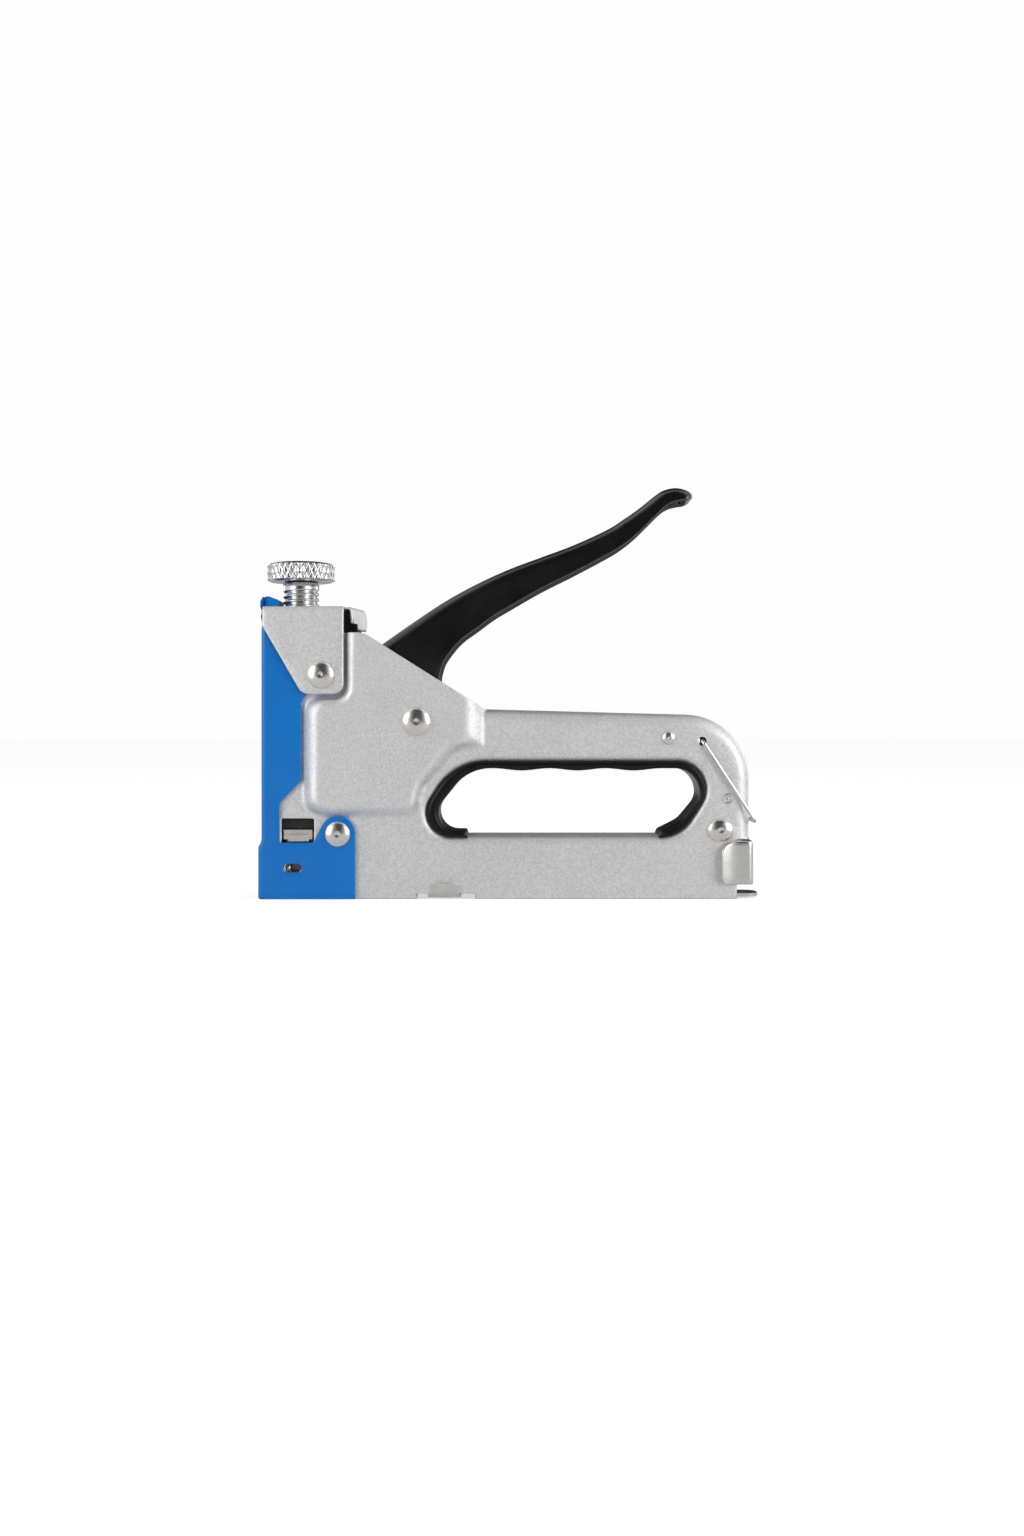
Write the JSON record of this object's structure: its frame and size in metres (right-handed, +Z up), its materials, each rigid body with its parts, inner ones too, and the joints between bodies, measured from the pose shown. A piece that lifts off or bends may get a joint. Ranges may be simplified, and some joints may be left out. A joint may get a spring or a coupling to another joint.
{
  "type": "staple gun",
  "caption": "Hand staple gun with pressed steel shells, blue front cover, black squeeze handle, knurled tension knob, pull-out magazine and a wire handle lock.",
  "frame": {"origin": "middle of the footprint, on the surface that the base stands on, half way along the overall length", "axes": "+X towards the rear end, the nose is at -X; +Y towards the right-hand side; +Z up"},
  "size_m": [0.155, 0.0274, 0.1271],
  "materials": {
    "satin_steel": "fine bead-blasted satin plating",
    "blue_paint": "satin blue powder coat",
    "black_paint": "gloss black stove enamel",
    "black_plastic": "semi-gloss moulded black plastic",
    "black_rubber": "matt black rubber",
    "zinc_plate": "bright zinc plating",
    "polished_steel": "bright plated sheet steel",
    "polished_nickel": "polished nickel plating",
    "spring_steel": "drawn spring wire"
  },
  "bodies": {
    "body": {"left_shell": "satin_steel", "right_shell": "satin_steel", "front_cover": "blue_paint", "top_bracket": "satin_steel", "grip_insert": "black_plastic", "spring_guide": "black_plastic", "adjuster_nut": "zinc_plate", "rubber_bumper": "black_rubber", "nose_guide": "polished_steel", "left_leg_guide": "polished_steel", "right_leg_guide": "polished_steel", "magazine_rail": "polished_steel", "rail_clip": "polished_steel", "pivot_rivet": "polished_nickel", "bracket_rivet_left": "polished_nickel", "bracket_rivet_right": "polished_nickel", "front_rivet": "polished_nickel", "front_spacer": "zinc_plate", "rear_rivet": "polished_nickel", "rear_spacer": "zinc_plate", "bar_rivet": "polished_nickel", "bar_spacer": "zinc_plate", "rear_pin": "zinc_plate"},
    "handle_lever": {"handle": "black_paint", "lifter": "zinc_plate", "pivot_bush": "zinc_plate", "handle_return_spring": "spring_steel"},
    "striker": {"hammer": "zinc_plate", "driver_blade": "polished_steel"},
    "adjuster_seat": {"spring_seat": "zinc_plate", "mainspring": "spring_steel"},
    "adjuster": {"adjusting_screw": "zinc_plate", "adjusting_knob": "zinc_plate"},
    "magazine_drawer": {"guide_rod": "polished_steel", "rear_latch": "polished_steel", "pusher_spring": "spring_steel"},
    "pusher": {"staple_pusher": "polished_steel"},
    "bail": {"wire_bail": "polished_steel"}
  },
  "joints": [
    {"name": "handle_squeeze", "type": "hinge", "parent": "body", "child": "handle_lever", "pos_m": [-0.0285, 0, 0.0546], "axis": [0, 1, 0], "range_deg": [0, 36], "stiffness_Nm_per_rad": 0.6, "springref_deg": -22.92},
    {"name": "hammer_lift", "type": "slide", "parent": "body", "child": "striker", "axis": [0, 0, 1], "range_m": [0, 0.0193], "deforming": ["mainspring"]},
    {"name": "seat_travel", "type": "slide", "parent": "body", "child": "adjuster_seat", "axis": [0, 0, 1], "range_m": [-0.00438, 0.00219]},
    {"name": "screw_turn", "type": "hinge", "parent": "adjuster_seat", "child": "adjuster", "pos_m": [-0.0654, 0, 0.098], "axis": [0, 0, 1], "range_deg": [-901, 451]},
    {"name": "magazine_pull", "type": "slide", "parent": "body", "child": "magazine_drawer", "axis": [1, 0, 0], "range_m": [0, 0.095]},
    {"name": "pusher_slide", "type": "slide", "parent": "magazine_drawer", "child": "pusher", "axis": [1, 0, 0], "range_m": [0, 0.09], "stiffness_N_per_m": 12, "springref_m": -0.08, "deforming": ["pusher_spring"]},
    {"name": "bail_swing", "type": "hinge", "parent": "body", "child": "bail", "pos_m": [0.0595, 0, 0.0486], "axis": [0, 1, 0], "range_deg": [-115, 0]}
  ],
  "couplings": [
    {"joint": "hammer_lift", "follows": "handle_squeeze", "m_per_rad": 0.0305},
    {"joint": "screw_turn", "follows": "seat_travel", "rad_per_m": 3590.4}
  ]
}
